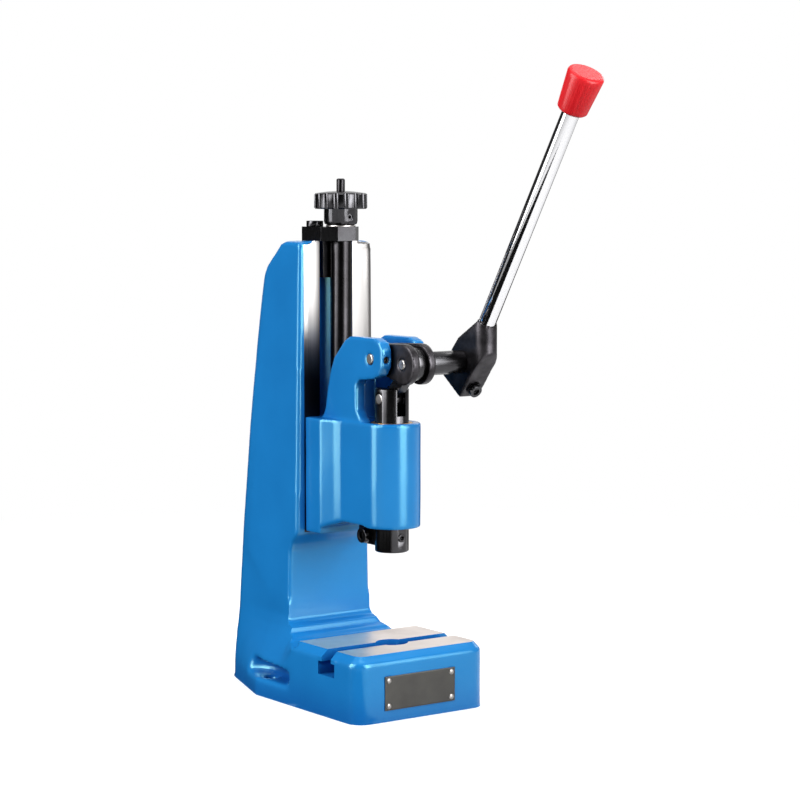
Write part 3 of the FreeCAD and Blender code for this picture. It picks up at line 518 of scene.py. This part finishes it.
def ripple(mesh: bpy.types.Mesh, share: np.ndarray, wave_mm: float, depth_mm: float) -> None:
    """Give a cast skin its slight unevenness.

    Args:
        mesh: Mesh to move.
        share: How far each vertex takes part, from 0 to 1.
        wave_mm: Width of a hump.
        depth_mm: Height of a hump.
    """
    points = points_of(mesh)
    normals = np.empty(len(points) * 3)
    mesh.vertex_normals.foreach_get("vector", normals)
    lift = np.array([noise.noise(Vector(point)) for point in points * per_metre(wave_mm)])
    points += normals.reshape(-1, 3) * (lift * share * depth_mm * MM)[:, None]
    mesh.vertices.foreach_set("co", points.ravel())
    mesh.update()


def shade(mesh: bpy.types.Mesh, angle: float) -> None:
    """Smooth shading, broken at edges sharper than an angle in degrees."""
    mesh.shade_smooth()
    mesh.set_sharp_from_angle(angle=math.radians(angle))


def edge_break(thing: bpy.types.Object, width_mm: float) -> None:
    """Break the sharp edges of a carried-over solid with a small round.

    Args:
        thing: The solid's object, whose own mesh stays as it is.
        width_mm: Width of the round.
    """
    thing.modifiers.new("join_points", "WELD").merge_threshold = POINTS_MEET
    flats = thing.modifiers.new("join_flats", "DECIMATE")
    flats.decimate_type = "DISSOLVE"
    flats.angle_limit = math.radians(FLAT_WITHIN)
    rounds = thing.modifiers.new("edge_round", "BEVEL")
    rounds.width = width_mm * MM
    rounds.segments = ROUND_STEPS
    rounds.limit_method = "ANGLE"
    rounds.angle_limit = math.radians(ROUNDED_FROM)
    rounds.harden_normals = True
    rounds.use_clamp_overlap = True


# ------------------------------------------------------------------------------------------------- castings
@dataclass
class Casting:
    """A cast-iron piece with soft cast edges and crisp machined faces, in place of its solid."""

    node: str
    body: str
    detail: int = 8
    fill: float = 0.9
    passes: int = 7
    wave_mm: float = 34.0
    wave_depth_mm: float = 0.25
    crease: float = 40.0

    def freedom(self, points: np.ndarray) -> np.ndarray:
        """How far each vertex is cast, from 0 on machined places to 1."""
        return np.ones(len(points))

    def ease(self, mesh: bpy.types.Mesh) -> None:
        """Further rounding of single places, which most castings do without."""

    def build(self) -> bpy.types.Object:
        """Make the softened casting.

        Returns:
            The new piece, riding on its body and standing for its solid.
        """
        thing = copy_of(self.node, self.node + "_skin")
        remesh = thing.modifiers.new("even_cells", "REMESH")
        remesh.mode = "SHARP"
        remesh.octree_depth = self.detail
        remesh.scale = self.fill
        remesh.sharpness = 1.0
        remesh.use_remove_disconnected = False
        apply_modifiers(thing)
        mesh = thing.data
        share = self.freedom(points_of(mesh))
        soften(mesh, share, self.passes)
        self.ease(mesh)
        ripple(mesh, share, self.wave_mm, self.wave_depth_mm)
        shade(mesh, self.crease)
        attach(thing, self.body)
        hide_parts(self.node)
        return thing

    def finish(self, thing: bpy.types.Object) -> None:
        """Dress the piece in enamel."""
        dress(thing, BLUE_ENAMEL.build())


@dataclass
class FrameCasting(Casting):
    """Base, feet and column: painted all over but for the table and the two slideways."""

    # machined places: the table, its slot, the slideways and the spindle's groove
    edge: float = 1.2 * MM
    table_top: float = 0.049
    table_rear: float = 0.043
    slot_half: float = 0.0125
    slot_foot: float = 0.029
    ways_front: float = 0.072
    ways_foot: float = 0.122
    way_flat: float = 0.0275
    way_flat_top: float = 0.338
    groove_rear: float = 0.0835
    groove_half: float = 0.0225
    # where the paint stops, and how squarely a bare face looks up or to the front
    table_skin: float = 0.3 * MM
    table_facing: float = 0.95
    way_wrap: float = 1.6 * MM
    way_start: float = 3 * MM
    way_left: float = -0.0292
    flat_facing: float = 0.8
    round_facing: float = 0.4
    cell: float = 1.6 * MM
    # ridges between table and column, from their low front corner to their high rear one in y and z
    ridge_low: tuple[float, float] = (0.060, 0.044)
    ridge_high: tuple[float, float] = (0.082, 0.070)
    ridge_share: float = 0.15
    # rounder places: the flared feet and the column's top corners
    foot_inside: float = 0.033
    foot_front: float = 0.040
    foot_top: float = 0.042
    crown: float = 0.342
    crown_half: float = 0.0215
    ease_passes: int = 16

    def freedom(self, points: np.ndarray) -> np.ndarray:
        """How far each vertex is cast, from 0 on machined places to 1."""
        x, y, z = points.T
        share = np.ones(len(points))
        table = (z > self.table_top - self.edge) & (y < self.table_rear + self.edge)
        slot = (np.abs(y) < self.slot_half) & (z > self.slot_foot)
        flat = (np.abs(x) < self.way_flat) & (z < self.way_flat_top)
        ways = (y < self.ways_front + self.edge) & (z > self.ways_foot) & flat
        groove = (np.abs(x) < self.groove_half) & (y < self.groove_rear) & (z > self.ways_foot)
        bench = z < self.edge
        (front, foot), (rear, top) = self.ridge_low, self.ridge_high
        ridges = (y > front) & (y < rear) & (z > foot) & (z < top)
        share[ridges] = self.ridge_share
        share[table | slot | ways | groove | bench] = 0.0
        return share

    def ease(self, mesh: bpy.types.Mesh) -> None:
        """Round the flared feet, the pockets over the bench bolts and the column's top corners some more."""
        x, y, z = points_of(mesh).T
        feet = (np.abs(x) > self.foot_inside) & (y > self.foot_front) & (z < self.foot_top) & (z > self.edge)
        corners = (z > self.crown) & (np.abs(x) > self.crown_half)
        soften(mesh, (feet | corners).astype(float), self.ease_passes)

    def true_paint_line(self, mesh: bpy.types.Mesh) -> None:
        """Draw the skin's points nearest to the paint's edge on the left slideway on to that line."""
        points = points_of(mesh)
        near = ((np.abs(points[:, 0] - self.way_left) < self.cell / 2) & (points[:, 2] > self.ways_foot)
                & (points[:, 1] < self.ways_front + self.edge))
        points[near, 0] = self.way_left
        mesh.vertices.foreach_set("co", points.ravel())
        mesh.update()

    def is_way(self, face: bpy.types.MeshPolygon) -> bool:
        """Whether a face lies on a slideway: up to the paint on the left, round the edge on the right."""
        centre, normal = face.center, face.normal
        if centre.y > self.ways_front + self.way_wrap or centre.z < self.ways_foot + self.way_start:
            return False
        if centre.x > 0:
            return normal.y < -self.round_facing
        return normal.y < -self.flat_facing and centre.x > self.way_left

    def finish(self, thing: bpy.types.Object) -> None:
        """Dress the casting: ground iron on the table and slideways, enamel elsewhere."""
        mesh = thing.data
        self.true_paint_line(mesh)
        dress(thing, BLUE_ENAMEL.build(), TABLE_IRON.build(), WAY_IRON.build())
        for face in mesh.polygons:
            centre, normal = face.center, face.normal
            at_table = centre.z > self.table_top - self.table_skin and centre.y < self.table_rear
            if at_table and normal.z > self.table_facing:
                face.material_index = 1
            elif self.is_way(face):
                face.material_index = 2


# ------------------------------------------------------------------------------------------------- fittings
@dataclass
class Fittings:
    """Machined pieces that keep their solids: a finish and a broken edge for each."""

    black: tuple[str, ...] = ("ram", "toggle_link", "lever_stub", "bearing_plate", "height_knob",
                              "guide_arm", "guide_pin", "plate_cap_screws", "arm_cap_screw",
                              "clamp_screw", "tool_clamp_screw", "pivot_grub_screws", "knob_grub_screw")
    bright: tuple[str, ...] = ("pivot_pin", "knee_pin", "ram_pin", "thrust_washer", "gib_strip")
    bronze: tuple[str, ...] = ("upper_ram_bush", "lower_ram_bush")
    round_mm: dict[str, float] = field(default_factory=lambda: {"height_knob": 0.35, "bearing_plate": 0.5})
    usual_mm: float = 0.3

    def build(self) -> list[str]:
        """Dress the machined pieces.

        Returns:
            The names of the pieces dressed.
        """
        groups = (
            (self.black, BLACK_OXIDE.build()),
            (("height_spindle",), OILED_SCREW.build()),
            (self.bright, BRIGHT_PIN.build()),
            (self.bronze, BRONZE.build()),
            (("lever_rod",), CHROME.build()),
            (("lever_knob",), RED_KNOB.build()),
            (("plate_rivets",), RIVET.build()),
        )
        dressed = []
        for names, material in groups:
            for name in names:
                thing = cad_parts[name]
                dress(thing, material)
                edge_break(thing, self.round_mm.get(name, self.usual_mm))
                dressed.append(name)
        return dressed


@dataclass
class BlackCasting(Casting):
    """A blackened steel casting or forging of the linkage."""

    passes: int = 5
    wave_depth_mm: float = 0.05

    def finish(self, thing: bpy.types.Object) -> None:
        """Dress the piece in blackened cast steel."""
        dress(thing, CAST_BLACK.build())


@dataclass
class NamePlate:
    """Dark sheet plate with a thin bare rim, left without any words."""

    border: float = 1.2 * MM
    border_width: float = 0.45 * MM
    proud: float = 0.12 * MM

    def build(self) -> bpy.types.Object:
        """Make the plate.

        Returns:
            The new plate, which stands for its solid.
        """
        low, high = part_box("name_plate")
        work = bmesh.new()
        corners = [work.verts.new((x, low.y, z)) for x, z in (
            (low.x, low.z), (high.x, low.z), (high.x, high.z), (low.x, high.z))]
        front = work.faces.new(corners)
        back = bmesh.ops.extrude_face_region(work, geom=[front])
        bmesh.ops.translate(work, vec=(0, high.y - low.y, 0),
                            verts=[v for v in back["geom"] if isinstance(v, bmesh.types.BMVert)])
        bmesh.ops.recalc_face_normals(work, faces=work.faces)
        front = min(work.faces, key=lambda face: face.calc_center_median().y)
        bmesh.ops.inset_region(work, faces=[front], thickness=self.border)
        rim = bmesh.ops.inset_region(work, faces=[front], thickness=self.border_width)
        for face in rim["faces"]:
            face.material_index = 1
        bmesh.ops.translate(work, vec=(0, -self.proud, 0),
                            verts=list({v for face in rim["faces"] for v in face.verts}))
        mesh = bpy.data.meshes.new("name_plate_sheet")
        work.to_mesh(mesh)
        work.free()
        plate = add_object("name_plate_sheet", mesh)
        dress(plate, DARK_SHEET.build(), PLATE_RIM.build())
        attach(plate, "frame")
        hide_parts("name_plate")
        return plate


# --------------------------------------------------------------------------------------------------- studio
@dataclass
class Studio:
    """Pale floor, soft lamps and a long lens from the front left."""

    camera_place: tuple[float, float, float] = (-1.01759, -1.40998, 0.38608)
    camera_target: tuple[float, float, float] = (0.0, 0.0, 0.2)
    lens: float = 107.05
    sensor: float = 36.0
    clip_end: float = 60.0
    shift: tuple[float, float] = (0.01018, 0.04955)
    floor_size: float = 40.0
    floor_fade: tuple[float, float] = (0.35, 1.1)
    floor_paint: str = "#d8d8d8"
    floor_bounce: str = "#565656"
    floor_glow: float = 0.45
    sky: float = 0.42
    card_rise: float = 0.5 * MM
    lamps: tuple[tuple[str, float, float, float, float, float, float], ...] = (
        # name, azimuth and elevation in degrees, distance, width, height, watts
        ("front_softbox", 15.0, 19.0, 2.3, 2.1, 1.8, 62.0),
        ("left_softbox", -100.0, 24.0, 2.3, 1.5, 1.5, 50.0),
        ("top_softbox", 0.0, 88.0, 2.0, 1.2, 1.2, 10.0),
        ("rear_softbox", 110.0, 30.0, 2.2, 0.8, 1.3, 12.0),
    )
    panels: tuple[tuple[str, float, float, float, float, float], ...] = (
        # name, azimuth in degrees, half its width in degrees, distance, height, radiance
        ("front_panel", 11.0, 14.0, 1.1, 1.0, 9.0),
        ("left_panel", -112.0, 10.0, 1.1, 1.0, 8.0),
    )
    cards: tuple[tuple[str, str, float, float, float, float], ...] = (
        # name, colour, azimuth in degrees, half its width in degrees, distance, height
        ("black_card", "#161616", -46.0, 33.0, 3.0, 4.0),
        ("right_wall", "#a0a0a0", 86.0, 46.0, 3.2, 4.0),
        ("rear_card", "#2a2a2a", -165.0, 30.0, 3.1, 4.0),
    )
    floor_cards: tuple[tuple[str, str, float, float, float, float], ...] = (
        # name, colour, azimuth, half its width in degrees, near and far edge in metres from the ram's axis
        ("front_floor_card", "#161616", -79.0, 47.0, 0.06, 0.55),
        ("left_floor_card", "#b4b4b4", -109.0, 17.0, 0.55, 3.0),
        ("rear_floor_card", "#161616", -161.0, 35.0, 0.08, 3.1),
        ("right_floor_card", "#505050", 128.0, 26.0, 0.5, 3.1),
    )

    def build(self) -> None:
        """Make floor, sky, lamps and camera."""
        self.floor()
        self.world()
        for lamp in self.lamps:
            self.light(*lamp, Vector(self.camera_target))
        for card in self.cards:
            self.wall_card(*card)
        for card in self.floor_cards:
            self.floor_card(*card)
        for panel in self.panels:
            self.panel(*panel)
        self.camera()
        bpy.context.scene.view_settings.view_transform = "Standard"

    def seen_straight(self, tree: bpy.types.NodeTree) -> bpy.types.NodeSocket:
        """One for what the camera, a mirror or glass looks at, nothing for what light falls on."""
        path = add_node(tree, "LightPath")
        sharp = math_node(tree, "MAXIMUM", path.outputs["Is Camera Ray"], path.outputs["Is Glossy Ray"])
        return math_node(tree, "MAXIMUM", sharp, path.outputs["Is Transmission Ray"])

    def floor(self) -> None:
        """A wide matt white floor that keeps the press's shadow and melts into the background."""
        work = bmesh.new()
        bmesh.ops.create_grid(work, x_segments=1, y_segments=1, size=self.floor_size / 2)
        mesh = bpy.data.meshes.new("studio_floor")
        work.to_mesh(mesh)
        work.free()
        floor = add_object("studio_floor", mesh)
        material, tree = blank_material("matt_white_floor")
        paint = add_node(tree, "BsdfDiffuse", {"Color": linear(self.floor_paint)})
        bounce = add_node(tree, "BsdfDiffuse", {"Color": linear(self.floor_bounce)})
        glow = add_node(tree, "Emission", {"Color": linear("#ffffff"), "Strength": self.floor_glow})
        both = add_node(tree, "AddShader", links={0: paint.outputs[0], 1: glow.outputs[0]})
        white = add_node(tree, "Emission", {"Color": linear("#ffffff"), "Strength": 1.0})
        place = add_node(tree, "TexCoord").outputs["Object"]
        reach = add_node(tree, "VectorMath", {"operation": "LENGTH"}, {0: place})
        fade = ramp(tree, reach.outputs["Value"], self.floor_fade, "SMOOTHSTEP")
        seen = add_node(tree, "MixShader", links={0: fade, 1: both.outputs[0], 2: white.outputs[0]})
        mix = add_node(tree, "MixShader", links={0: self.seen_straight(tree), 1: bounce.outputs[0],
                                                 2: seen.outputs[0]})
        add_node(tree, "OutputMaterial", links={"Surface": mix.outputs[0]})
        dress(floor, material)

    def world(self) -> None:
        """White to the eye and in reflections, a softer even light on the press."""
        world = bpy.data.worlds.new("studio_sky")
        bpy.context.scene.world = world
        world.use_nodes = True
        tree = world.node_tree
        tree.nodes.clear()
        seen = add_node(tree, "Background", {"Color": linear("#ffffff"), "Strength": 1.0})
        light = add_node(tree, "Background", {"Color": linear("#ffffff"), "Strength": self.sky})
        mix = add_node(tree, "MixShader", links={0: self.seen_straight(tree), 1: light.outputs[0],
                                                 2: seen.outputs[0]})
        add_node(tree, "OutputWorld", links={"Surface": mix.outputs[0]})

    def card(self, name: str, colour: str, corners: list, faces: list) -> None:
        """Make a card that only gloss sees, which gives bright metal its darker bands.

        Args:
            name: Name of the card.
            colour: Hex colour that reflections show.
            corners: Its points in metres.
            faces: The points of each face.
        """
        mesh = bpy.data.meshes.new(name)
        mesh.from_pydata(corners, [], faces)
        card = add_object(name, mesh)
        material, tree = blank_material(name + "_cloth")
        cloth = add_node(tree, "Emission", {"Color": linear(colour), "Strength": 1.0})
        add_node(tree, "OutputMaterial", links={"Surface": cloth.outputs[0]})
        dress(card, material)
        card.visible_camera = False
        card.visible_diffuse = False
        card.visible_shadow = False
        card.visible_transmission = False

    def sweep(self, azimuth: float, half: float, edges: tuple) -> tuple[list, list]:
        """Corners and faces of a card swept round the press.

        Args:
            azimuth: Degrees round the press, 0 in front and positive to the right.
            half: Half the card's width in degrees.
            edges: Distance from the press and height of each of its two long edges, in metres.

        Returns:
            Its points, and the points of each face.
        """
        turns = [math.radians(azimuth + half * share / 4) for share in range(-4, 5)]
        corners = [(math.sin(turn) * away, -math.cos(turn) * away, rise)
                   for away, rise in edges for turn in turns]
        count = len(turns)
        return corners, [(i, i + 1, i + 1 + count, i + count) for i in range(count - 1)]

    def wall_card(self, name: str, colour: str, azimuth: float, half: float, distance: float,
                  height: float) -> None:
        """Stand a curved card round part of the press."""
        self.card(name, colour, *self.sweep(azimuth, half, ((distance, 0.0), (distance, height))))

    def floor_card(self, name: str, colour: str, azimuth: float, half: float, near: float,
                   far: float) -> None:
        """Lay a card on the floor round part of the press."""
        rise = self.card_rise
        self.card(name, colour, *self.sweep(azimuth, half, ((near, rise), (far, rise))))

    def panel(self, name: str, azimuth: float, half: float, distance: float, height: float,
              radiance: float) -> None:
        """Stand a narrow light panel on the floor that shows only in reflections.

        Args:
            name: Name of the panel.
            azimuth: Degrees round the press, 0 in front and positive to the right.
            half: Half the panel's width in degrees.
            distance: Metres from the press.
            height: Metres from the floor to its top.
            radiance: How bright it looks, where 1 is white.
        """
        width = 2 * distance * math.tan(math.radians(half))
        panel = self.light(name, azimuth, 0.0, distance, width, height, radiance * math.pi * width * height,
                           Vector((0.0, 0.0, height / 2)))
        panel.visible_diffuse = False
        panel.visible_camera = False

    def light(self, name: str, azimuth: float, elevation: float, distance: float, width: float, height: float,
              watts: float, aim: Vector) -> bpy.types.Object:
        """Put up one oblong light.

        Args:
            name: Name of the light.
            azimuth: Degrees round the press, 0 in front and positive to the right.
            elevation: Degrees above the bench.
            distance: Metres from the point that it faces.
            width: Width in metres.
            height: Height in metres.
            watts: Power.
            aim: The point that it faces.

        Returns:
            The light's object.
        """
        data = bpy.data.lights.new(name, "AREA")
        data.shape = "RECTANGLE"
        data.size, data.size_y = width, height
        data.energy = watts
        turn, rise = math.radians(azimuth), math.radians(elevation)
        way = Vector((math.sin(turn) * math.cos(rise), -math.cos(turn) * math.cos(rise), math.sin(rise)))
        light = add_object(name, data)
        light.location = aim + way * distance
        light.rotation_euler = way.to_track_quat("Z", "Y").to_euler()
        return light

    def camera(self) -> None:
        """A long lens at the height of the column's top."""
        data = bpy.data.cameras.new("studio_camera")
        data.lens = self.lens
        data.sensor_width = self.sensor
        data.shift_x, data.shift_y = self.shift
        data.clip_end = self.clip_end
        camera = add_object("studio_camera", data)
        camera.location = self.camera_place
        look = Vector(self.camera_target) - Vector(self.camera_place)
        camera.rotation_euler = look.to_track_quat("-Z", "Y").to_euler()
        bpy.context.scene.camera = camera


def main() -> None:
    """Dress the press piece by piece and set up the studio."""
    logging.basicConfig(level=logging.INFO, format="%(name)s: %(message)s")
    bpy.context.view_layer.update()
    castings = (
        FrameCasting("frame_casting", "frame"),
        Casting("head_casting", "head", detail=7, passes=5),
        BlackCasting("crank", "lever", detail=6),
        BlackCasting("lever_clamp", "lever", detail=6),
    )
    for casting in castings:
        skin = casting.build()
        casting.finish(skin)
        LOG.info("%s: %d faces", skin.name, len(skin.data.polygons))
    for name in Fittings().build():
        LOG.info("%s dressed", name)
    plate = NamePlate().build()
    LOG.info("%s: %d faces", plate.name, len(plate.data.polygons))
    Studio().build()


if __name__ == "__main__":
    main()
